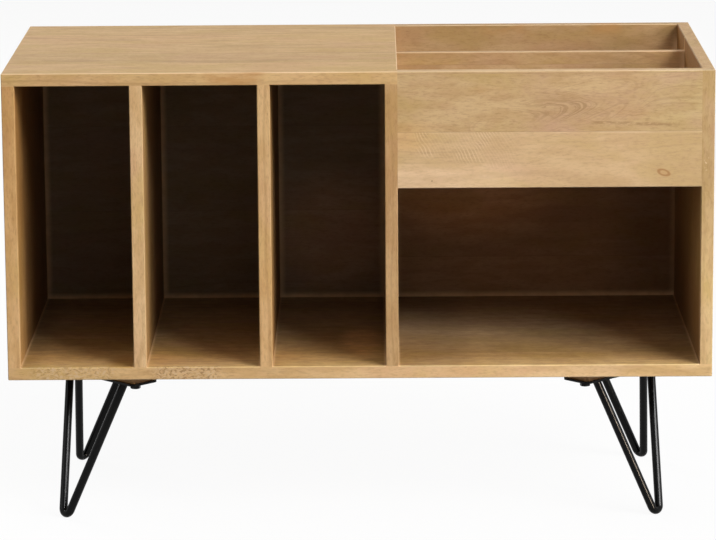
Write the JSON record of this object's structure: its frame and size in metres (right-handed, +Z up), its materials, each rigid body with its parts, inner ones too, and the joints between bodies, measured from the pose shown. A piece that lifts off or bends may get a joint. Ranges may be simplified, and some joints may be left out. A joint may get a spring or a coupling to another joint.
{
  "type": "record storage stand",
  "caption": "Low wooden case on bent-rod legs: tall upright slots for records, an open bay, and an open-topped bin with a divider above the bay.",
  "frame": {"origin": "on the floor, under the centre of the case", "axes": "+X to the right seen from the front, +Y from front to back, +Z up"},
  "size_m": [1, 0.48, 0.661],
  "materials": {
    "mango_wood": "satin lacquer",
    "inner_wood": "satin lacquer",
    "dowel_wood": "bare",
    "black_steel": "satin powder coat",
    "zinc_steel": "zinc plated"
  },
  "bodies": {
    "root": {"bottom_panel": "mango_wood", "left_side_panel": "mango_wood", "right_side_panel": "mango_wood", "top_panel": "mango_wood", "slot_divider_left": "mango_wood", "slot_divider_right": "mango_wood", "partition_panel": "mango_wood", "bin_front_board": "mango_wood", "bin_rear_board": "mango_wood", "bin_floor_panel": "inner_wood", "bin_divider": "mango_wood", "back_panel_slots": "inner_wood", "back_panel_bay": "inner_wood", "leg_block_front_left": "mango_wood", "leg_block_front_right": "mango_wood", "leg_block_rear_left": "mango_wood", "leg_block_rear_right": "mango_wood", "leg_plate_front_left": "black_steel", "leg_plate_front_right": "black_steel", "leg_plate_rear_left": "black_steel", "leg_plate_rear_right": "black_steel", "leg_rod_front_left": "black_steel", "leg_rod_front_right": "black_steel", "leg_rod_rear_left": "black_steel", "leg_rod_rear_right": "black_steel", "leg_bolts": "black_steel", "case_dowels": "dowel_wood", "bin_dowels": "dowel_wood", "back_screws": "zinc_steel"}
  },
  "joints": []
}
